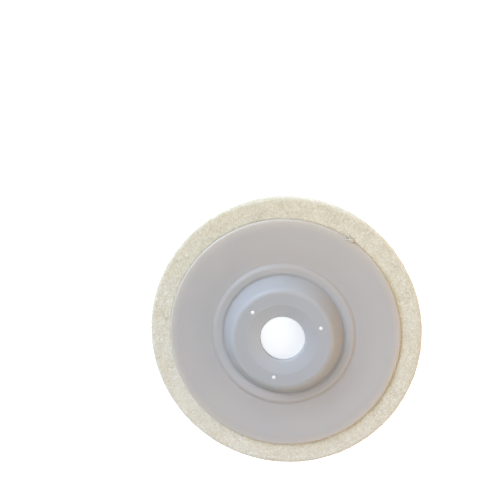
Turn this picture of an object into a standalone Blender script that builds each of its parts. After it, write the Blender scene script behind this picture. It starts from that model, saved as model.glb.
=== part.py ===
"""Felt polishing disc for a small angle grinder: a pressed felt ring glued to a moulded plate.

The disc lies on its working face. The origin is the centre of that face, and +Z runs along the
spin axis, up through the plate's hub and towards the grinder. Blender works in metres, so the
millimetre sizes below are scaled by MM as the geometry is made.
"""

from math import cos, pi, radians, sin, tan

import bmesh
import bpy
from mathutils import Matrix, Vector

MM = 0.001

# Felt ring.
DISC_RADIUS = 50.0
FELT_HOLE_RADIUS = 20.0
FELT_THICKNESS = 12.0
FELT_WORKING_EDGE_FILLET = 0.8
FELT_BACK_EDGE_FILLET = 1.8
FELT_HOLE_FILLET = 0.5

# Adhesive film, and the clearance kept on each side of it.
JOINT_GAP = 0.3
GLUE_THICKNESS = 0.4
GLUE_SETBACK = 0.9

# Backing plate, from its rim inwards: flange with a sloped rim, low bead, groove, conical hub,
# lead-in cone, bore through the web, and the nut's recess below.
PLATE_RADIUS = 42.4
FLANGE_THICKNESS = 1.8
RIM_SLOPE_RADIUS = 39.0
RIM_SLOPE_DROP = 0.3
RIM_SLOPE_FILLET = 6.0
RIM_TOP_FILLET = 0.95
RIM_BOTTOM_FILLET = 0.4
BEAD_FOOT_RADIUS = 26.3
BEAD_FOOT_FILLET = 0.8
BEAD_CREST_RADIUS = 25.1
BEAD_CREST_HEIGHT = 0.65
BEAD_CREST_FILLET = 1.8
BEAD_INNER_RADIUS = 22.9
BEAD_INNER_HEIGHT = 0.4
BEAD_INNER_FILLET = 1.0
GROOVE_RADIUS = 22.0
GROOVE_DEPTH = 0.1
GROOVE_FILLET = 0.3
HUB_HEIGHT = 7.0
HUB_TOP_RADIUS = 17.6
HUB_SHOULDER_FILLET = 3.0
LEAD_IN_RADIUS = 12.6
LEAD_IN_DEPTH = 1.2
LEAD_IN_FILLET = 2.2
WEB_THICKNESS = 2.4
BORE_RADIUS = 8.0
BORE_EDGE_FILLET = 0.25
RECESS_MOUTH_RADIUS = 17.9
RECESS_MOUTH_FILLET = 0.4
RECESS_TOP_RADIUS = 16.0
RECESS_TOP_FILLET = 0.6

# Moulding gates: shallow dimples in the hub's top, each with the stub of its sprue.
GATE_COUNT = 3
GATE_CIRCLE_RADIUS = 14.3
GATE_START_ANGLE = 18.0
GATE_DIMPLE_RADIUS = 1.1
GATE_DIMPLE_DEPTH = 0.25
GATE_STUB_BASE_RADIUS = 0.5
GATE_STUB_TIP_RADIUS = 0.3
GATE_STUB_HEIGHT = 0.2
GATE_STUB_ROOT = 0.3

# Levels along the spin axis.
GLUE_BOTTOM = FELT_THICKNESS + JOINT_GAP
GLUE_TOP = GLUE_BOTTOM + GLUE_THICKNESS
PLATE_BOTTOM = GLUE_TOP + JOINT_GAP
FLANGE_TOP = PLATE_BOTTOM + FLANGE_THICKNESS
HUB_TOP = FLANGE_TOP + HUB_HEIGHT
BORE_TOP = HUB_TOP - LEAD_IN_DEPTH
WEB_BOTTOM = BORE_TOP - WEB_THICKNESS

# Mesh fineness.
RING_STEPS = 72
FILLET_STEPS = 3
GATE_SEGMENTS = 20
GATE_RINGS = 14
MERGE_DISTANCE = 0.00001

PART_COLLECTION = "felt_polishing_wheel"
CUTTER_COLLECTION = "cutters"


def clear_scene():
    """Remove whatever the startup file put in the scene."""
    for obj in list(bpy.data.objects):
        bpy.data.objects.remove(obj, do_unlink=True)


def new_collection(name):
    """Make a collection in the scene."""
    collection = bpy.data.collections.new(name)
    bpy.context.scene.collection.children.link(collection)
    return collection


def plain_material(name, color, roughness, subsurface=0.0):
    """Make a non-metal Principled material."""
    material = bpy.data.materials.new(name)
    material.use_nodes = True
    shader = material.node_tree.nodes["Principled BSDF"]
    shader.inputs["Base Color"].default_value = (*color, 1.0)
    shader.inputs["Roughness"].default_value = roughness
    shader.inputs["Metallic"].default_value = 0.0
    shader.inputs["Subsurface Weight"].default_value = subsurface
    return material


def fillet(before, corner, after, radius):
    """Replace a corner by the points of an arc that is tangent to both of its sides."""
    to_before = (before - corner).normalized()
    to_after = (after - corner).normalized()
    half_angle = to_before.angle(to_after) / 2.0
    centre = corner + (to_before + to_after).normalized() * (radius / sin(half_angle))
    tangent_length = radius / tan(half_angle)
    first = (corner + to_before * tangent_length - centre).normalized()
    last = (corner + to_after * tangent_length - centre).normalized()
    return [centre + first.slerp(last, i / FILLET_STEPS) * radius for i in range(FILLET_STEPS + 1)]


def rounded_outline(corners):
    """Turn (radius, height, fillet) corners, in mm, into the points of a closed outline."""
    places = [Vector((radius, height)) for radius, height, _ in corners]
    outline = []
    for index, (_, _, fillet_radius) in enumerate(corners):
        corner = places[index]
        if fillet_radius == 0.0:
            outline.append(corner)
            continue
        before = places[index - 1]
        after = places[(index + 1) % len(places)]
        outline.extend(fillet(before, corner, after, fillet_radius))
    return outline


def turned_part(name, corners, material, collection):
    """Revolve a closed outline about the spin axis.

    The outline runs down its outer side and up its bore, which turns its faces outwards.
    """
    mesh = bpy.data.meshes.new(name)
    profile = bmesh.new()
    ring = [profile.verts.new((point.x * MM, 0.0, point.y * MM)) for point in rounded_outline(corners)]
    for index, vertex in enumerate(ring):
        profile.edges.new((ring[index - 1], vertex))
    profile.to_mesh(mesh)
    profile.free()
    mesh.materials.append(material)

    part = bpy.data.objects.new(name, mesh)
    collection.objects.link(part)
    screw = part.modifiers.new("turn", "SCREW")
    screw.axis = "Z"
    screw.angle = 2.0 * pi
    screw.steps = RING_STEPS
    screw.render_steps = RING_STEPS
    screw.use_merge_vertices = True
    screw.merge_threshold = MERGE_DISTANCE
    screw.use_smooth_shade = True
    return part


def gate_places(height):
    """Give the matrices that put a shape on each gate, at a height in mm."""
    places = []
    for index in range(GATE_COUNT):
        angle = radians(GATE_START_ANGLE + index * 360.0 / GATE_COUNT)
        x = GATE_CIRCLE_RADIUS * cos(angle)
        y = GATE_CIRCLE_RADIUS * sin(angle)
        places.append(Matrix.Translation(Vector((x, y, height)) * MM))
    return places


def cutter_object(name, shape, collection):
    """Make a hidden helper body from a bmesh, for a Boolean to use."""
    mesh = bpy.data.meshes.new(name)
    shape.to_mesh(mesh)
    shape.free()
    cutter = bpy.data.objects.new(name, mesh)
    cutter.hide_render = True
    cutter.display_type = "WIRE"
    collection.objects.link(cutter)
    return cutter


def gate_dimples(collection):
    """Make the spheres whose lowest caps hollow the dimples."""
    sphere_radius = (GATE_DIMPLE_RADIUS ** 2 + GATE_DIMPLE_DEPTH ** 2) / (2.0 * GATE_DIMPLE_DEPTH)
    shape = bmesh.new()
    for place in gate_places(HUB_TOP - GATE_DIMPLE_DEPTH + sphere_radius):
        bmesh.ops.create_uvsphere(
            shape, u_segments=GATE_SEGMENTS, v_segments=GATE_RINGS, radius=sphere_radius * MM, matrix=place
        )
    return cutter_object("gate_dimple_cutter", shape, collection)


def gate_stubs(collection):
    """Make the sprue stubs, rooted a little way below the dimples' floors."""
    depth = GATE_STUB_HEIGHT + GATE_STUB_ROOT
    shape = bmesh.new()
    for place in gate_places(HUB_TOP - GATE_DIMPLE_DEPTH - GATE_STUB_ROOT + depth / 2.0):
        bmesh.ops.create_cone(
            shape,
            cap_ends=True,
            segments=GATE_SEGMENTS // 2,
            radius1=GATE_STUB_BASE_RADIUS * MM,
            radius2=GATE_STUB_TIP_RADIUS * MM,
            depth=depth * MM,
            matrix=place,
        )
    return cutter_object("gate_stub_body", shape, collection)


def add_boolean(part, name, operation, other):
    """Cut or join a part with a helper body."""
    boolean = part.modifiers.new(name, "BOOLEAN")
    boolean.operation = operation
    boolean.solver = "EXACT"
    boolean.object = other


def felt_ring(collection):
    """The working part: a thick ring of pressed wool felt."""
    material = plain_material("pressed_felt", (0.72, 0.66, 0.53), 0.95)
    corners = [
        (FELT_HOLE_RADIUS, FELT_THICKNESS, FELT_HOLE_FILLET),
        (DISC_RADIUS, FELT_THICKNESS, FELT_BACK_EDGE_FILLET),
        (DISC_RADIUS, 0.0, FELT_WORKING_EDGE_FILLET),
        (FELT_HOLE_RADIUS, 0.0, FELT_HOLE_FILLET),
    ]
    return turned_part("felt_ring", corners, material, collection)


def adhesive_layer(collection):
    """The film of glue that holds the felt to the plate."""
    material = plain_material("adhesive", (0.62, 0.55, 0.38), 0.45)
    inner = FELT_HOLE_RADIUS + GLUE_SETBACK
    outer = PLATE_RADIUS - GLUE_SETBACK
    corners = [
        (inner, GLUE_TOP, 0.0),
        (outer, GLUE_TOP, 0.0),
        (outer, GLUE_BOTTOM, 0.0),
        (inner, GLUE_BOTTOM, 0.0),
    ]
    return turned_part("adhesive_layer", corners, material, collection)


def backing_plate(collection, cutters):
    """The one-piece plastic moulding that carries the felt and fits the grinder's spindle."""
    material = plain_material("natural_plastic", (0.55, 0.55, 0.56), 0.42, subsurface=0.25)
    corners = [
        (BORE_RADIUS, BORE_TOP, BORE_EDGE_FILLET),
        (LEAD_IN_RADIUS, HUB_TOP, LEAD_IN_FILLET),
        (HUB_TOP_RADIUS, HUB_TOP, HUB_SHOULDER_FILLET),
        (GROOVE_RADIUS, FLANGE_TOP - GROOVE_DEPTH, GROOVE_FILLET),
        (BEAD_INNER_RADIUS, FLANGE_TOP + BEAD_INNER_HEIGHT, BEAD_INNER_FILLET),
        (BEAD_CREST_RADIUS, FLANGE_TOP + BEAD_CREST_HEIGHT, BEAD_CREST_FILLET),
        (BEAD_FOOT_RADIUS, FLANGE_TOP, BEAD_FOOT_FILLET),
        (RIM_SLOPE_RADIUS, FLANGE_TOP, RIM_SLOPE_FILLET),
        (PLATE_RADIUS, FLANGE_TOP - RIM_SLOPE_DROP, RIM_TOP_FILLET),
        (PLATE_RADIUS, PLATE_BOTTOM, RIM_BOTTOM_FILLET),
        (RECESS_MOUTH_RADIUS, PLATE_BOTTOM, RECESS_MOUTH_FILLET),
        (RECESS_TOP_RADIUS, WEB_BOTTOM, RECESS_TOP_FILLET),
        (BORE_RADIUS, WEB_BOTTOM, BORE_EDGE_FILLET),
    ]
    plate = turned_part("backing_plate", corners, material, collection)
    add_boolean(plate, "gate_dimples", "DIFFERENCE", gate_dimples(cutters))
    add_boolean(plate, "gate_stubs", "UNION", gate_stubs(cutters))
    return plate


def main():
    clear_scene()
    parts = new_collection(PART_COLLECTION)
    cutters = new_collection(CUTTER_COLLECTION)
    felt_ring(parts)
    adhesive_layer(parts)
    backing_plate(parts, cutters)


main()
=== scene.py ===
"""The felt polishing wheel's looks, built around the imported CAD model.

The wheel lies on its felt working face, with its hub up. The sizes of shapes are in millimetres and are
scaled by MM where a mesh is made. The camera, the lights and the materials' scales are in metres.
Heights come from the CAD nodes' boxes.
"""

from math import cos, pi, radians, sin, tan

import bpy
import numpy as np
from mathutils import Matrix, Vector


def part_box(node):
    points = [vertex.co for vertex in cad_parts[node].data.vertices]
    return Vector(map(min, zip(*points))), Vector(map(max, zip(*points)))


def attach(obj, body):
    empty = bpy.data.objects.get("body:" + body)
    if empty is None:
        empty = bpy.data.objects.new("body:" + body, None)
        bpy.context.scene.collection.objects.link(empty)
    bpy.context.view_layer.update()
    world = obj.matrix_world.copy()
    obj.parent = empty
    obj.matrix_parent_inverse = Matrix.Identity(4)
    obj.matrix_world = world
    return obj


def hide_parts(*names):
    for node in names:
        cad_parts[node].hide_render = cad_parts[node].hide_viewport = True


MM = 0.001

# Felt ring. Inside FELT_HIDDEN_RADIUS it lies under the plate, so its points are further apart.
FELT_RADIUS = 50.3
FELT_HOLE_RADIUS = 20.0
FELT_BACK_FILLET = 1.6
FELT_WORKING_FILLET = 0.9
FELT_HOLE_FILLET = 0.6
FELT_HIDDEN_RADIUS = 39.5
FELT_PITCH = 0.33
FELT_HIDDEN_PITCH = 2.5
FELT_COLUMNS = 900

# Matted strands and gentle undulation over the felt's whole surface, and the swell outside the plate.
STRAND_COUNT = 34000
STRAND_STEPS = 20
STRAND_HALF_WIDTHS = (0.17, 0.36)
STRAND_LENGTHS = (1.8, 6.0)
STRAND_CURL = 0.40
STRAND_FLOOR = 0.30
STRAND_LIFT = 0.62
STRAND_CROWN = 0.38
STRAND_DEPTH = 0.20
UNDULATION_DEPTH = 0.16
SWELL_RADII = (40.6, 42.7)
SWELL_HEIGHT = 1.25

# Painted shade: a khaki band on the felt at the plate's rim, strongest on the side away from the lights.
RIM_SHADE_RADII = (42.8, 43.9)
RIM_SHADE_WANDER = 0.35
RIM_SHADE_ANGLE = -25.0

# Loose fibres on the felt, and the tuft that curls over the plate's rim.
FIBRE_COUNT = 3600
FIBRE_RINGS = 8
FIBRE_SIDES = 3
FIBRE_LENGTHS = (1.2, 4.5)
FIBRE_CURL = 0.7
FIBRE_THICKNESS = (0.03, 0.065)
FIBRE_LIFT = (0.02, 0.34)
FIBRE_ROOT_DEPTH = 0.08
FIBRE_UNDERSIDE_DEPTH = 0.06
FIBRE_INNER_RADIUS = 42.0
TUFT_ANGLE = 56.0
TUFT_SPREAD = 2.6
TUFT_RADII = (43.3, 41.4)
TUFT_ROOT_SCATTER = (-0.4, 0.6)
TUFT_REACH = (0.45, 1.0)
TUFT_LEAN = 0.030
TUFT_CURL = 0.018
TUFT_RISE = (0.1, 0.3)
TUFT_ROOT_DEPTH = 0.1
TUFT_CLEARANCE = 0.14
TUFT_COUNT = 16
TUFT_THICKNESS = (0.10, 0.20)

# Backing plate, by ring radius.
PLATE_COLUMNS = 480
PLATE_FILLET_STEPS = 8
PLATE_RADIUS = 42.4
FLANGE_THICKNESS = 1.8
RIM_SLOPE_RADIUS = 39.0
RIM_SLOPE_DROP = 0.3
RIM_SLOPE_FILLET = 6.0
RIM_TOP_FILLET = 0.95
RIM_BOTTOM_FILLET = 0.4
BEAD_FOOT_RADIUS = 26.3
BEAD_FOOT_FILLET = 0.8
BEAD_CREST_RADIUS = 25.1
BEAD_CREST_HEIGHT = 0.65
BEAD_CREST_FILLET = 1.8
BEAD_INNER_RADIUS = 22.9
BEAD_INNER_HEIGHT = 0.4
BEAD_INNER_FILLET = 1.0
GROOVE_RADIUS = 22.0
GROOVE_DEPTH = 0.1
GROOVE_FILLET = 0.3
HUB_TOP_RADIUS = 17.9
HUB_SHOULDER_FILLET = 2.1
LEAD_IN_RADIUS = 12.6
LEAD_IN_DEPTH = 1.05
LEAD_IN_FILLET = 2.2
WEB_THICKNESS = 2.4
BORE_RADIUS = 8.0
BORE_EDGE_FILLET = 0.3
RECESS_MOUTH_RADIUS = 17.9
RECESS_MOUTH_FILLET = 0.4
RECESS_TOP_RADIUS = 16.0
RECESS_TOP_FILLET = 0.6
SINK_DEPTH = 0.035
SINK_FULL_RADIUS = 30.0
SINK_LEAST_HEIGHT = 0.6

# Moulding gates on the hub's top.
GATE_ANGLES = (18.0, 138.0, 258.0)
GATE_CIRCLE_RADIUS = 14.3
GATE_DIMPLE_RADIUS = 1.3
GATE_DIMPLE_DEPTH = 0.25
GATE_STUB_RADIUS = 0.85
GATE_STUB_HEIGHT = 0.4
# The whiter spot at each gate is partly stress-whitening and partly a painted highlight.
GATE_WHITE_AND_GLINT_RADIUS = 0.85

# Glue line.
GLUE_COLUMNS = 480
GLUE_INNER_RADIUS = 20.8
GLUE_OUTER_RADIUS = 42.0
GLUE_EVEN_RADII = (25.0, 36.0)
GLUE_CLEARANCE = 0.05
GLUE_SINK = 0.2

# Camera, in metres: nearly overhead, a little towards +Y, with +Y up in the picture.
CAMERA_PLACE = Vector((0.01335, 0.06443, 0.26466))
CAMERA_TARGET = Vector((-0.01226, 0.03116, 0.01520))
CAMERA_LENS = 50.4
CAMERA_SENSOR = 36.0

# Soft lights: name, azimuth and elevation in degrees, distance, width and height in metres, power in
# watts, and colour. Azimuth 0 is towards +X and 90 towards +Y.
LIGHTS = (
    ("softbox", 130.0, 38.0, 2.0, 1.1, 1.0, 29.3, (0.66, 0.785, 0.975)),
    ("low_window", 125.0, 15.0, 1.6, 1.6, 0.6, 10.0, (0.42, 0.62, 1.0)),
    ("ceiling", 60.0, 75.0, 1.3, 0.5, 0.5, 3.8, (1.0, 0.86, 0.73)),
    ("sky_panel", -55.0, 68.0, 0.45, 0.2, 0.2, 0.50, (0.62, 0.76, 1.0)),
    ("warm_wall", -14.0, 13.0, 1.2, 0.7, 0.4, 3.7, (1.0, 0.50, 0.10)),
)
WORLD_COLOR = (1.0, 0.865, 0.64, 1.0)
WORLD_STRENGTH = 0.38

# Floor and materials. The reach, in metres, is how far each way the uneven painted light across the wheel
# runs: warmer towards +Y, cooler towards -Y.
FLOOR_HALF_SIDE = 4000.0
WARM_LIGHT_REACH = 0.05
WHITE = (1.0, 1.0, 1.0)

rng = np.random.default_rng(20)
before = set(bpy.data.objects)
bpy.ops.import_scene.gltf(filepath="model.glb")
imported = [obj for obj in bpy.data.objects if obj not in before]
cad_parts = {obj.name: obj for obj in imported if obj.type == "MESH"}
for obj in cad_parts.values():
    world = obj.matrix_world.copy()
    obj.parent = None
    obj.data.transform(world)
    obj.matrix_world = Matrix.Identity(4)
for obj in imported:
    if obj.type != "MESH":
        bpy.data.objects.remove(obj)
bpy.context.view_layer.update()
felt_low, felt_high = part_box("felt_ring")
plate_low, plate_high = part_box("backing_plate")
FELT_TOP = felt_high.z / MM
PLATE_BOTTOM = plate_low.z / MM
HUB_TOP = plate_high.z / MM
FLANGE_TOP = PLATE_BOTTOM + FLANGE_THICKNESS
BORE_TOP = HUB_TOP - LEAD_IN_DEPTH
WEB_BOTTOM = BORE_TOP - WEB_THICKNESS


# Outlines and turned grids ------------------------------------------------------------------


def fillet(before, corner, after, radius, steps):
    """The points of an arc that is tangent to both sides of a corner."""
    to_before = (before - corner).normalized()
    to_after = (after - corner).normalized()
    half_angle = to_before.angle(to_after) / 2.0
    centre = corner + (to_before + to_after).normalized() * (radius / sin(half_angle))
    reach = radius / tan(half_angle)
    first = (corner + to_before * reach - centre).normalized()
    last = (corner + to_after * reach - centre).normalized()
    return [centre + first.slerp(last, i / steps) * radius for i in range(steps + 1)]


def outline(corners):
    """Points of a closed outline from (radius, height, fillet, fillet steps, pitch) corners.

    The pitch is the spacing of the points on the straight side that follows the corner.
    """
    places = [Vector((c[0], c[1])) for c in corners]
    arcs = []
    for index, (_, _, radius, steps, _) in enumerate(corners):
        if radius == 0.0:
            arcs.append([places[index]])
            continue
        after = places[(index + 1) % len(places)]
        arcs.append(fillet(places[index - 1], places[index], after, radius, steps))
    points = []
    for index, arc in enumerate(arcs):
        points.extend(arc)
        start = arc[-1]
        end = arcs[(index + 1) % len(arcs)][0]
        count = max(1, round((end - start).length / corners[index][4]))
        points.extend(start.lerp(end, i / count) for i in range(1, count))
    return np.array([(p.x, p.y) for p in points])


def outline_normals(points):
    """Outward unit normals of an outline that runs down its outer side."""
    ahead = np.roll(points, -1, axis=0) - points
    behind = points - np.roll(points, 1, axis=0)
    ahead /= np.linalg.norm(ahead, axis=1)[:, None]
    behind /= np.linalg.norm(behind, axis=1)[:, None]
    along = ahead + behind
    along /= np.linalg.norm(along, axis=1)[:, None]
    return np.stack([-along[:, 1], along[:, 0]], axis=1)


def arc_lengths(points):
    """Distance of each outline point from the first one, and the whole outline's length."""
    steps = np.linalg.norm(np.roll(points, -1, axis=0) - points, axis=1)
    return np.concatenate([[0.0], np.cumsum(steps)[:-1]]), steps.sum()


def turned_points(radii, heights, columns):
    """Points of a turned grid. radii and heights are per row, or per row and column."""
    angles = np.arange(columns) * 2.0 * pi / columns
    radii = np.broadcast_to(radii if radii.ndim == 2 else radii[:, None], (len(radii), columns))
    heights = np.broadcast_to(heights if heights.ndim == 2 else heights[:, None], radii.shape)
    return np.stack([radii * np.cos(angles), radii * np.sin(angles), heights], axis=2)


def turned_faces(rows, columns):
    """Quads of a grid that closes on itself both ways, facing out."""
    row = np.arange(rows)[:, None]
    column = np.arange(columns)[None, :]
    next_row = (row + 1) % rows
    next_column = (column + 1) % columns
    corners = (row * columns + column, next_row * columns + column)
    corners += (next_row * columns + next_column, row * columns + next_column)
    return np.stack([np.broadcast_to(c, (rows, columns)) for c in corners], axis=2).reshape(-1, 4)


def new_piece(name, points, faces, material):
    """A smooth-shaded mesh object in the row frame from points in millimetres."""
    mesh = bpy.data.meshes.new(name)
    mesh.from_pydata((points.reshape(-1, 3) * MM).tolist(), [], [list(f) for f in faces])
    mesh.materials.append(material)
    mesh.shade_smooth()
    mesh.update()
    piece = bpy.data.objects.new(name, mesh)
    bpy.context.scene.collection.objects.link(piece)
    return piece


def point_values(piece, name, values):
    """Store one number per point, for the material to read."""
    attribute = piece.data.attributes.new(name, "FLOAT", "POINT")
    attribute.data.foreach_set("value", values.astype(np.float32).ravel())


def smoothstep(low, high, value):
    """0 below low, 1 above high, and a smooth S between them."""
    t = np.clip((value - low) / (high - low), 0.0, 1.0)
    return t * t * (3.0 - 2.0 * t)


def waves(angles, terms, seed):
    """A smooth random function round the circle, of about unit size."""
    local = np.random.default_rng(seed)
    total = np.zeros_like(angles)
    for order in range(2, 2 + terms):
        size = local.normal()
        phase = local.uniform(0.0, 2.0 * pi)
        total = total + size * np.cos(order * angles + phase) / order ** 0.5
    return total / 2.0


# Materials ----------------------------------------------------------------------------------


class Nodes:
    """Short calls for building a material's nodes."""

    def __init__(self, name):
        self.material = bpy.data.materials.new(name)
        self.material.use_nodes = True
        self.tree = self.material.node_tree
        self.shader = self.tree.nodes["Principled BSDF"]
        self.place = self.tree.nodes.new("ShaderNodeTexCoord").outputs["Object"]

    def set(self, **values):
        """Set the shader's own sockets: base_color becomes Base Color."""
        for name, value in values.items():
            socket = self.shader.inputs[name.replace("_", " ").title().replace("Ior", "IOR")]
            socket.default_value = value

    def link(self, output, socket):
        self.tree.links.new(output, socket)

    def noise(self, scale, detail=2.0, roughness=0.5, distortion=0.0):
        node = self.tree.nodes.new("ShaderNodeTexNoise")
        node.inputs["Scale"].default_value = scale
        node.inputs["Detail"].default_value = detail
        node.inputs["Roughness"].default_value = roughness
        node.inputs["Distortion"].default_value = distortion
        self.link(self.place, node.inputs["Vector"])
        return node.outputs["Fac"]

    def ridges(self, scale, distortion, width):
        """Thin curly lines, 0 on a line and 1 away from it."""
        centred = self.tree.nodes.new("ShaderNodeMath")
        centred.operation = "SUBTRACT"
        centred.inputs[1].default_value = 0.5
        self.link(self.noise(scale, 2.0, 0.5, distortion), centred.inputs[0])
        away = self.tree.nodes.new("ShaderNodeMath")
        away.operation = "ABSOLUTE"
        self.link(centred.outputs["Value"], away.inputs[0])
        spread = self.tree.nodes.new("ShaderNodeMapRange")
        spread.inputs["From Max"].default_value = width
        self.link(away.outputs["Value"], spread.inputs["Value"])
        return spread.outputs["Result"]

    def radius(self):
        """Distance from the spin axis, as a share of the felt's radius."""
        share = 1.0 / (FELT_RADIUS * MM)
        flat = self.tree.nodes.new("ShaderNodeVectorMath")
        flat.operation = "MULTIPLY"
        flat.inputs[1].default_value = (share, share, 0.0)
        self.link(self.place, flat.inputs[0])
        length = self.tree.nodes.new("ShaderNodeVectorMath")
        length.operation = "LENGTH"
        self.link(flat.outputs["Vector"], length.inputs[0])
        return length.outputs["Value"]

    def warm_light_side(self):
        """0 to 1 across the wheel towards +Y, with a wandering edge: where painted light is warmer,
        standing in for warmer light on that side.
        """
        split = self.tree.nodes.new("ShaderNodeSeparateXYZ")
        self.link(self.place, split.inputs["Vector"])
        across = self.tree.nodes.new("ShaderNodeMapRange")
        across.inputs["From Min"].default_value = -WARM_LIGHT_REACH
        across.inputs["From Max"].default_value = WARM_LIGHT_REACH
        self.link(split.outputs["Y"], across.inputs["Value"])
        return self.mix(across.outputs["Result"], self.noise(30.0, 2.0), 0.3)

    def attribute(self, name):
        node = self.tree.nodes.new("ShaderNodeAttribute")
        node.attribute_name = name
        return node.outputs["Fac"]

    def ramp(self, value, *stops):
        """Colours, or greys, at places from 0 to 1."""
        node = self.tree.nodes.new("ShaderNodeValToRGB")
        elements = node.color_ramp.elements
        while len(elements) < len(stops):
            elements.new(0.5)
        for element, (place, color) in zip(elements, stops):
            element.position = place
            element.color = (*color, 1.0) if isinstance(color, tuple) else (color, color, color, 1.0)
        self.link(value, node.inputs["Fac"])
        return node.outputs["Color"]

    def mix(self, a, b, factor, blend="MIX"):
        node = self.tree.nodes.new("ShaderNodeMix")
        node.data_type = "RGBA"
        node.blend_type = blend
        for socket, value in ((node.inputs[6], a), (node.inputs[7], b), (node.inputs[0], factor)):
            if isinstance(value, bpy.types.NodeSocket):
                self.link(value, socket)
            else:
                socket.default_value = value
        return node.outputs[2]

    def tint(self, color, tone):
        """A colour multiplied by another."""
        return self.mix(color, tone, 1.0, "MULTIPLY")

    def range(self, value, low, high):
        """Map 0..1 to low..high."""
        node = self.tree.nodes.new("ShaderNodeMapRange")
        node.inputs["To Min"].default_value = low
        node.inputs["To Max"].default_value = high
        self.link(value, node.inputs["Value"])
        return node.outputs["Result"]

    def bump(self, height, strength, distance, below=None):
        node = self.tree.nodes.new("ShaderNodeBump")
        node.inputs["Strength"].default_value = strength
        node.inputs["Distance"].default_value = distance
        self.link(height, node.inputs["Height"])
        if below:
            self.link(below, node.inputs["Normal"])
        return node.outputs["Normal"]


def felt_material():
    """Pressed wool: matted fibres with darker curly lines and soft patches of tone, with painted shade in
    the hollows, painted light across it and a painted shade band at the plate's rim.
    """
    n = Nodes("pressed_wool_felt")
    # Painted shade: the hollows between the strands are darker and the crests lighter.
    strands = n.ramp(
        n.attribute("relief"),
        (0.3, (0.785, 0.775, 0.68)),
        (0.6, (0.817, 0.814, 0.727)),
        (1.0, (0.853, 0.858, 0.784)),
    )
    patches = n.noise(110.0, 3.0, 0.62)
    color = n.tint(strands, n.ramp(patches, (0.32, (0.975, 0.955, 0.915)), (0.66, (1.01, 1.005, 1.0))))
    curls = n.ridges(620.0, 2.4, 0.09)
    hairs = n.ridges(1350.0, 1.6, 0.11)
    color = n.tint(color, n.ramp(curls, (0.0, (0.815, 0.775, 0.695)), (1.0, WHITE)))
    color = n.tint(color, n.ramp(hairs, (0.0, (0.855, 0.82, 0.755)), (1.0, WHITE)))
    # Painted light: cooler towards -Y, warmer and a little darker towards +Y.
    warm_light = n.ramp(n.warm_light_side(), (0.2, (1.0, 1.01, 1.05)), (0.8, (0.99, 0.975, 0.93)))
    color = n.tint(color, warm_light)
    # Painted shade: the khaki band on the felt at the plate's rim, away from the lights.
    rim_shaded = n.tint(color, (0.90, 0.86, 0.75, 1.0))
    n.link(n.mix(color, rim_shaded, n.attribute("rim_shade")), n.shader.inputs["Base Color"])
    n.set(roughness=0.96, specular_ior_level=0.15, sheen_weight=0.25, sheen_roughness=0.6)
    n.link(n.bump(hairs, 0.5, 0.00008, n.bump(curls, 0.5, 0.00015)), n.shader.inputs["Normal"])
    return n.material


def fibre_material():
    """Single wool fibres, painted lighter than the mat for the light they catch."""
    n = Nodes("loose_wool_fibre")
    # Painted light: lighter wool than the mat's, standing for the light the fibres catch and offsetting
    # their shadows.
    tone = n.ramp(n.noise(300.0, 1.0), (0.3, (0.80, 0.76, 0.65)), (0.7, (0.88, 0.85, 0.76)))
    n.link(tone, n.shader.inputs["Base Color"])
    n.set(roughness=0.8, specular_ior_level=0.3, sheen_weight=0.2)
    return n.material


def plastic_material():
    """Natural polyethylene: milky and satin, warmer over the felt, with painted light and shade, and
    gates partly stress-whitened and partly painted as highlights.
    """
    n = Nodes("natural_polyethylene")
    gate = n.attribute("gate")
    # By radius: warmer over the felt. Painted light: a lighter, bluer sheen round the bore out to about
    # 12 mm; painted shade in a ring beside the bead, about 26 to 29 mm out; a lighter, warmer painted
    # highlight on the rim's edge.
    radial_tint_and_painted_light = n.ramp(
        n.radius(),
        (0.20, (0.447, 0.465, 0.486)),
        (0.27, (0.421, 0.437, 0.452)),
        (0.36, (0.421, 0.437, 0.452)),
        (0.52, (0.461, 0.450, 0.439)),
        (0.58, (0.460, 0.447, 0.435)),
        (0.68, (0.478, 0.466, 0.453)),
        (0.78, (0.480, 0.468, 0.455)),
        (0.835, (0.545, 0.515, 0.468)),
    )
    cloud = n.ramp(n.noise(38.0, 2.0), (0.32, (0.95, 0.955, 0.965)), (0.68, (1.0, 0.995, 0.995)))
    color = n.tint(radial_tint_and_painted_light, cloud)
    # Painted light: cooler towards -Y, warmer and a little darker towards +Y.
    warm_light = n.ramp(n.warm_light_side(), (0.2, (1.0, 1.0, 1.015)), (0.8, (0.98, 0.962, 0.925)))
    color = n.tint(color, warm_light)
    # The whiter spot at each gate is partly stress-whitening and partly a painted highlight.
    n.link(n.mix(color, (0.85, 0.86, 0.88, 1.0), gate), n.shader.inputs["Base Color"])
    satin = n.range(n.noise(420.0, 3.0), 0.43, 0.53)
    n.link(n.mix(satin, (0.2, 0.2, 0.2, 1.0), gate), n.shader.inputs["Roughness"])
    n.set(ior=1.5, specular_ior_level=0.5, subsurface_weight=0.7, subsurface_scale=0.004)
    n.set(subsurface_radius=(1.0, 0.90, 0.75))
    peel = n.bump(n.noise(900.0, 2.0), 0.06, 0.0001)
    n.link(n.bump(n.noise(5200.0, 2.0), 0.05, 0.00004, peel), n.shader.inputs["Normal"])
    return n.material


def glue_material():
    """Dried contact cement, amber and slightly glossy."""
    n = Nodes("dried_contact_cement")
    color = n.ramp(n.noise(250.0, 3.0), (0.3, (0.42, 0.35, 0.22)), (0.7, (0.55, 0.48, 0.33)))
    n.link(color, n.shader.inputs["Base Color"])
    n.link(n.range(n.noise(600.0, 2.0), 0.35, 0.6), n.shader.inputs["Roughness"])
    n.set(subsurface_weight=0.2, subsurface_scale=0.001)
    n.link(n.bump(n.noise(900.0, 3.0), 0.4, 0.0002), n.shader.inputs["Normal"])
    return n.material


# Felt ring ----------------------------------------------------------------------------------


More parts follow.
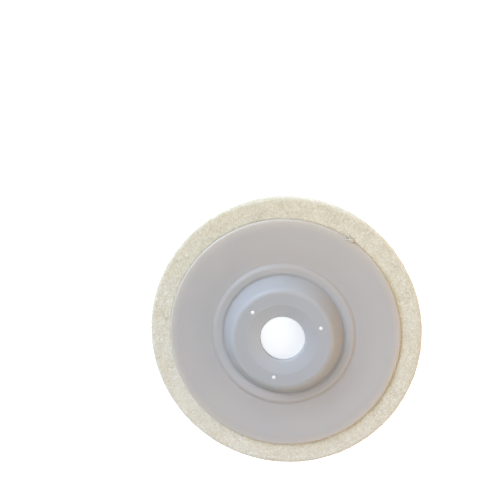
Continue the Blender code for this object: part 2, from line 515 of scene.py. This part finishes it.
def felt_outline():
    """The felt's cross-section, with fine spacing wherever it can be seen."""
    return outline(
        [
            (FELT_HOLE_RADIUS, FELT_TOP, FELT_HOLE_FILLET, 3, FELT_HIDDEN_PITCH),
            (FELT_HIDDEN_RADIUS, FELT_TOP, 0.0, 0, FELT_PITCH),
            (FELT_RADIUS, FELT_TOP, FELT_BACK_FILLET, 6, FELT_PITCH),
            (FELT_RADIUS, 0.0, FELT_WORKING_FILLET, 4, FELT_PITCH),
            (FELT_HOLE_RADIUS, 0.0, FELT_HOLE_FILLET, 3, FELT_PITCH),
        ]
    )


def strand_paths(count, steps, radii, lengths, total, length_range, curl):
    """Random curved paths over the unrolled surface: arc length and angle at each step."""
    place = rng.uniform(0.0, total, count)
    angle = rng.uniform(0.0, 2.0 * pi, count)
    heading = rng.uniform(0.0, 2.0 * pi, count)
    turn = rng.normal(0.0, curl, count)
    step = rng.uniform(*length_range, count) / steps
    path = []
    for _ in range(steps):
        path.append((place.copy(), angle.copy()))
        heading += turn * step
        radius = np.interp(place, lengths, radii)
        place = (place + np.cos(heading) * step) % total
        angle = (angle + np.sin(heading) * step / radius) % (2.0 * pi)
    return path


def strand_relief(points, columns):
    """Heights, from 0 to 1, of matted strands laid over each other on the unrolled surface."""
    lengths, total = arc_lengths(points)
    radii = points[:, 0]
    rows = len(points)
    relief = np.full((rows, columns), STRAND_FLOOR)
    half_width = rng.uniform(*STRAND_HALF_WIDTHS, STRAND_COUNT)
    lift = rng.uniform(0.0, STRAND_LIFT, STRAND_COUNT)
    path = strand_paths(STRAND_COUNT, STRAND_STEPS, radii, lengths, total, STRAND_LENGTHS, STRAND_CURL)
    column_angle = 2.0 * pi / columns
    for step, (place, angle) in enumerate(path):
        taper = sin(pi * (step + 0.5) / STRAND_STEPS) ** 0.4
        near_row = np.searchsorted(lengths, place) % rows
        near_column = np.rint(angle / column_angle).astype(int)
        for row_shift in range(-2, 3):
            row = (near_row + row_shift) % rows
            across = np.abs(lengths[row] - place)
            across = np.minimum(across, total - across)
            for column_shift in range(-3, 4):
                column = near_column + column_shift
                around = (column * column_angle - angle) * radii[row]
                share = (across ** 2 + around ** 2) / half_width ** 2
                height = lift + STRAND_CROWN * np.sqrt(np.clip(1.0 - share, 0.0, 1.0))
                height = np.where(share < 1.0, height * taper, 0.0)
                np.maximum.at(relief, (row, column % columns), height)
    blurred = relief * 4.0
    for axis in (0, 1):
        blurred += np.roll(relief, 1, axis) + np.roll(relief, -1, axis)
    return blurred / 8.0


def felt_swell(points):
    """How far the felt stands up outside the plate, which presses it flat underneath."""
    upper = smoothstep(0.0, FELT_TOP, points[:, 1])
    return SWELL_HEIGHT * smoothstep(*SWELL_RADII, points[:, 0]) * upper


def build_felt(material):
    """The felt as one closed grid whose crests reach the CAD ring's surface, or swell past it."""
    points = felt_outline()
    normals = outline_normals(points)
    relief = strand_relief(points, FELT_COLUMNS)
    angles = np.arange(FELT_COLUMNS) * 2.0 * pi / FELT_COLUMNS
    lengths, total = arc_lengths(points)
    phase = lengths[:, None] * 2.0 * pi / total
    ripples = np.cos(5.0 * phase + 2.0 * angles[None, :])
    undulation = 0.5 + 0.25 * (waves(angles, terms=9, seed=5)[None, :] + ripples)
    depth = STRAND_DEPTH * (1.0 - relief) + UNDULATION_DEPTH * np.clip(undulation, 0.0, 1.0)
    radii = points[:, :1] - normals[:, :1] * depth
    heights = points[:, 1:] + felt_swell(points)[:, None] - normals[:, 1:] * depth
    felt = new_piece(
        "felt_body",
        turned_points(radii, heights, FELT_COLUMNS),
        turned_faces(len(points), FELT_COLUMNS),
        material,
    )
    point_values(felt, "relief", relief)
    # Painted shade: a khaki band at the plate's rim, strongest on the side away from the lights.
    wander = RIM_SHADE_WANDER * waves(angles, terms=24, seed=31)[None, :]
    rim_band = 1.0 - smoothstep(*RIM_SHADE_RADII, points[:, :1] + wander)
    away_side = smoothstep(-0.6, 0.9, np.cos(angles - radians(RIM_SHADE_ANGLE)))[None, :]
    point_values(felt, "rim_shade", rim_band * away_side * (points[:, 1:] > FELT_TOP / 2.0))
    return felt


def fibre_tubes(name, centres, normals, thickness, material):
    """Thin closed tubes along (fibre, ring, xyz) centre lines."""
    count, rings, _ = centres.shape
    along = np.gradient(centres, axis=1)
    along /= np.linalg.norm(along, axis=2)[:, :, None]
    side = np.cross(along, normals)
    side /= np.linalg.norm(side, axis=2)[:, :, None]
    up = np.cross(side, along)
    ring_share = np.linspace(0.0, 1.0, rings)
    taper = 0.35 + 0.65 * np.sin(pi * np.clip(ring_share, 0.04, 0.96)) ** 0.5
    radius = thickness[:, None] * taper[None, :]
    points = []
    for i in range(FIBRE_SIDES):
        turn = 2.0 * pi * i / FIBRE_SIDES
        points.append(centres + radius[:, :, None] * (cos(turn) * up + sin(turn) * side))
    points = np.stack(points, axis=2)
    block = rings * FIBRE_SIDES
    faces = []
    for ring in range(rings - 1):
        for i in range(FIBRE_SIDES):
            j = (i + 1) % FIBRE_SIDES
            low = ring * FIBRE_SIDES
            faces.append((low + i, low + j, low + FIBRE_SIDES + j, low + FIBRE_SIDES + i))
    faces.append(tuple(reversed(range(FIBRE_SIDES))))
    faces.append(tuple(range(block - FIBRE_SIDES, block)))
    every = [tuple(fibre * block + v for v in face) for fibre in range(count) for face in faces]
    return new_piece(name, points, every, material)


def build_fibres(material):
    """Loose fibres that lie on the felt's visible faces and stand a little proud of them."""
    points = felt_outline()
    normals = outline_normals(points)
    lengths, total = arc_lengths(points)
    path = strand_paths(FIBRE_COUNT, FIBRE_RINGS, points[:, 0], lengths, total, FIBRE_LENGTHS, FIBRE_CURL)
    place = np.stack([p for p, _ in path], axis=1)
    angle = np.stack([a for _, a in path], axis=1)
    radius = np.interp(place, lengths, points[:, 0], period=total)
    height = np.interp(place, lengths, points[:, 1] + felt_swell(points), period=total)
    normal_r = np.interp(place, lengths, normals[:, 0], period=total)
    normal_z = np.interp(place, lengths, normals[:, 1], period=total)
    keep = ~((radius < FIBRE_INNER_RADIUS) & (height > FELT_TOP - 1.0)).any(axis=1)
    share = np.linspace(0.0, 1.0, FIBRE_RINGS)
    lift = rng.uniform(*FIBRE_LIFT, FIBRE_COUNT)
    proud = lift[:, None] * share[None, :] ** 1.5 - FIBRE_ROOT_DEPTH
    under = height < FELT_WORKING_FILLET
    proud = np.where(under, np.minimum(proud, -FIBRE_UNDERSIDE_DEPTH), proud)
    flat_r = (radius + normal_r * proud)[keep]
    flat_z = (height + normal_z * proud)[keep]
    turn = angle[keep]
    centres = np.stack([flat_r * np.cos(turn), flat_r * np.sin(turn), flat_z], axis=2)
    outward = np.stack(
        [normal_r[keep] * np.cos(turn), normal_r[keep] * np.sin(turn), normal_z[keep]], axis=2
    )
    thickness = rng.uniform(*FIBRE_THICKNESS, keep.sum())
    return fibre_tubes("felt_loose_fibres", centres, outward, thickness, material)


def build_tuft(material):
    """A few thick strands pulled loose from the felt, curling over the plate's rim."""
    share = np.linspace(0.0, 1.0, FIBRE_RINGS)
    centres = []
    for _ in range(TUFT_COUNT):
        start = radians(TUFT_ANGLE + rng.uniform(-TUFT_SPREAD, TUFT_SPREAD))
        lean = rng.uniform(-TUFT_LEAN, TUFT_LEAN)
        curl = rng.uniform(-TUFT_CURL, TUFT_CURL)
        reach = rng.uniform(*TUFT_REACH) * (TUFT_RADII[1] - TUFT_RADII[0])
        radius = TUFT_RADII[0] + rng.uniform(*TUFT_ROOT_SCATTER) + reach * share
        turn = start + lean * share + curl * np.sin(pi * share * 1.4)
        rise = rng.uniform(*TUFT_RISE) * np.sin(pi * share)
        root = FELT_TOP + SWELL_HEIGHT - TUFT_ROOT_DEPTH
        crest = FLANGE_TOP - RIM_SLOPE_DROP + TUFT_CLEARANCE
        height = root + (crest - root) * smoothstep(0.05, 0.45, share) + rise
        centres.append(np.stack([radius * np.cos(turn), radius * np.sin(turn), height], axis=1))
    centres = np.array(centres)
    outward = np.zeros_like(centres)
    outward[:, :, 2] = 1.0
    thickness = rng.uniform(*TUFT_THICKNESS, TUFT_COUNT)
    return fibre_tubes("felt_tuft", centres, outward, thickness, material)


# Backing plate ------------------------------------------------------------------------------


def plate_outline():
    """The plate's cross-section, finest across the gates."""
    s = PLATE_FILLET_STEPS
    return outline(
        [
            (BORE_RADIUS, BORE_TOP, BORE_EDGE_FILLET, 4, 0.6),
            (LEAD_IN_RADIUS, HUB_TOP, LEAD_IN_FILLET, s, 0.2),
            (GATE_CIRCLE_RADIUS - GATE_DIMPLE_RADIUS, HUB_TOP, 0.0, 0, 0.12),
            (GATE_CIRCLE_RADIUS + GATE_DIMPLE_RADIUS, HUB_TOP, 0.0, 0, 0.4),
            (HUB_TOP_RADIUS, HUB_TOP, HUB_SHOULDER_FILLET, s, 0.5),
            (GROOVE_RADIUS, FLANGE_TOP - GROOVE_DEPTH, GROOVE_FILLET, 4, 0.4),
            (BEAD_INNER_RADIUS, FLANGE_TOP + BEAD_INNER_HEIGHT, BEAD_INNER_FILLET, s, 0.4),
            (BEAD_CREST_RADIUS, FLANGE_TOP + BEAD_CREST_HEIGHT, BEAD_CREST_FILLET, s, 0.4),
            (BEAD_FOOT_RADIUS, FLANGE_TOP, BEAD_FOOT_FILLET, s, 0.9),
            (RIM_SLOPE_RADIUS, FLANGE_TOP, RIM_SLOPE_FILLET, 3, 0.5),
            (PLATE_RADIUS, FLANGE_TOP - RIM_SLOPE_DROP, RIM_TOP_FILLET, s, 0.3),
            (PLATE_RADIUS, PLATE_BOTTOM, RIM_BOTTOM_FILLET, s, 2.0),
            (RECESS_MOUTH_RADIUS, PLATE_BOTTOM, RECESS_MOUTH_FILLET, 4, 0.8),
            (RECESS_TOP_RADIUS, WEB_BOTTOM, RECESS_TOP_FILLET, s, 0.8),
            (BORE_RADIUS, WEB_BOTTOM, BORE_EDGE_FILLET, 4, 0.6),
        ]
    )


def gate_distance(x, y):
    """How far each point is from the nearest gate."""
    away = np.full_like(x, FELT_RADIUS)
    for angle in GATE_ANGLES:
        gate_x = GATE_CIRCLE_RADIUS * cos(radians(angle))
        gate_y = GATE_CIRCLE_RADIUS * sin(radians(angle))
        away = np.minimum(away, np.hypot(x - gate_x, y - gate_y))
    return away


def build_plate(material):
    """The plate as one closed grid, with slight moulding sink on its flange."""
    points = plate_outline()
    grid = turned_points(points[:, 0], points[:, 1], PLATE_COLUMNS)
    angles = np.arange(PLATE_COLUMNS) * 2.0 * pi / PLATE_COLUMNS
    radius = points[:, :1]
    on_top = points[:, 1:] > WEB_BOTTOM + WEB_THICKNESS / 2.0
    away = np.where(on_top, gate_distance(grid[:, :, 0], grid[:, :, 1]), FELT_RADIUS)
    grid[:, :, 2] -= GATE_DIMPLE_DEPTH * (1.0 - smoothstep(0.1, 1.0, away / GATE_DIMPLE_RADIUS))
    grid[:, :, 2] += GATE_STUB_HEIGHT * (1.0 - smoothstep(0.3, 1.0, away / GATE_STUB_RADIUS))
    on_flange = (points[:, 1:] > PLATE_BOTTOM + SINK_LEAST_HEIGHT) & (radius > BEAD_FOOT_RADIUS)
    sink = SINK_DEPTH * smoothstep(BEAD_FOOT_RADIUS, SINK_FULL_RADIUS, radius)
    grid[:, :, 2] += np.where(on_flange, sink * waves(angles, terms=5, seed=8)[None, :], 0.0)
    plate = new_piece("plate_body", grid, turned_faces(len(points), PLATE_COLUMNS), material)
    # Mask of the gates' whiter spots: partly stress-whitening, partly a painted highlight.
    point_values(plate, "gate", 1.0 - smoothstep(0.5, 1.0, away / GATE_WHITE_AND_GLINT_RADIUS))
    return plate


# Glue ---------------------------------------------------------------------------------------


def build_glue(material):
    """The glue film, sunk a little into the felt, with uneven inner and outer edges."""
    low = FELT_TOP + GLUE_CLEARANCE - GLUE_SINK
    high = PLATE_BOTTOM - GLUE_CLEARANCE
    points = outline(
        [
            (GLUE_INNER_RADIUS, high, 0.2, 2, 4.0),
            (GLUE_OUTER_RADIUS, high, 0.25, 4, 0.3),
            (GLUE_OUTER_RADIUS, low, 0.25, 4, 4.0),
            (GLUE_INNER_RADIUS, low, 0.2, 2, 0.3),
        ]
    )
    angles = np.arange(GLUE_COLUMNS) * 2.0 * pi / GLUE_COLUMNS
    outer = smoothstep(GLUE_EVEN_RADII[1], GLUE_OUTER_RADIUS, points[:, :1])
    inner = 1.0 - smoothstep(GLUE_INNER_RADIUS, GLUE_EVEN_RADII[0], points[:, :1])
    edge = 0.16 * waves(angles, terms=22, seed=11) + 0.05 * waves(angles * 9.0, terms=6, seed=12)
    radii = points[:, :1] + (outer - inner) * edge[None, :]
    grid = turned_points(radii, np.broadcast_to(points[:, 1:], radii.shape), GLUE_COLUMNS)
    return new_piece("glue_line", grid, turned_faces(len(points), GLUE_COLUMNS), material)


# Stage --------------------------------------------------------------------------------------


def build_floor():
    """A plain light table, level with the working face."""
    n = Nodes("light_table")
    tone = n.ramp(n.noise(6.0, 2.0), (0.3, 0.88), (0.7, 0.90))
    n.link(tone, n.shader.inputs["Base Color"])
    n.set(roughness=0.9, specular_ior_level=0.1)
    n.set(emission_color=(0.84, 0.90, 1.0, 1.0), emission_strength=0.68)
    corners = np.array([(-1.0, -1.0, 0.0), (1.0, -1.0, 0.0), (1.0, 1.0, 0.0), (-1.0, 1.0, 0.0)])
    floor = new_piece("floor", corners * FLOOR_HALF_SIDE, [(0, 1, 2, 3)], n.material)


def area_light(name, azimuth, elevation, distance, width, height, power, color):
    """A soft light that faces the wheel."""
    data = bpy.data.lights.new(name, "AREA")
    data.shape = "RECTANGLE"
    data.size = width
    data.size_y = height
    data.energy = power
    data.color = color
    light = bpy.data.objects.new(name, data)
    flat = cos(radians(elevation)) * distance
    turn = radians(azimuth)
    light.location = (flat * cos(turn), flat * sin(turn), sin(radians(elevation)) * distance)
    light.rotation_euler = (-light.location).to_track_quat("-Z", "Y").to_euler()
    bpy.context.scene.collection.objects.link(light)


def build_lights():
    """The soft lights, and a dim warm world all round."""
    for light in LIGHTS:
        area_light(*light)
    world = bpy.data.worlds.new("studio")
    world.use_nodes = True
    background = world.node_tree.nodes["Background"]
    background.inputs["Color"].default_value = WORLD_COLOR
    background.inputs["Strength"].default_value = WORLD_STRENGTH
    bpy.context.scene.world = world


def build_camera():
    """The camera looks down at the wheel, with +Y up in its picture."""
    data = bpy.data.cameras.new("camera")
    data.lens = CAMERA_LENS
    data.sensor_width = CAMERA_SENSOR
    data.clip_start = 0.01
    camera = bpy.data.objects.new("camera", data)
    back = (CAMERA_PLACE - CAMERA_TARGET).normalized()
    right = Vector((0.0, 1.0, 0.0)).cross(back).normalized()
    up = back.cross(right)
    turned = Matrix((right, up, back)).transposed().to_4x4()
    camera.matrix_world = Matrix.Translation(CAMERA_PLACE) @ turned
    bpy.context.scene.collection.objects.link(camera)
    bpy.context.scene.camera = camera


def add_piece(piece, slot, *nodes):
    """Fix a piece to the wheel, and hide the CAD nodes that it stands for."""
    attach(piece, "root")
    if nodes:
        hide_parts(*nodes)


def main():
    """Build the stage and the five pieces."""
    build_camera()
    build_floor()
    build_lights()
    add_piece(build_felt(felt_material()), "pressed_felt", "felt_ring")
    loose = fibre_material()
    add_piece(build_fibres(loose), "pressed_felt")
    add_piece(build_tuft(loose), "pressed_felt")
    add_piece(build_plate(plastic_material()), "natural_plastic", "backing_plate")
    add_piece(build_glue(glue_material()), "adhesive", "adhesive_layer")
    bpy.context.scene.view_settings.view_transform = "Standard"


main()
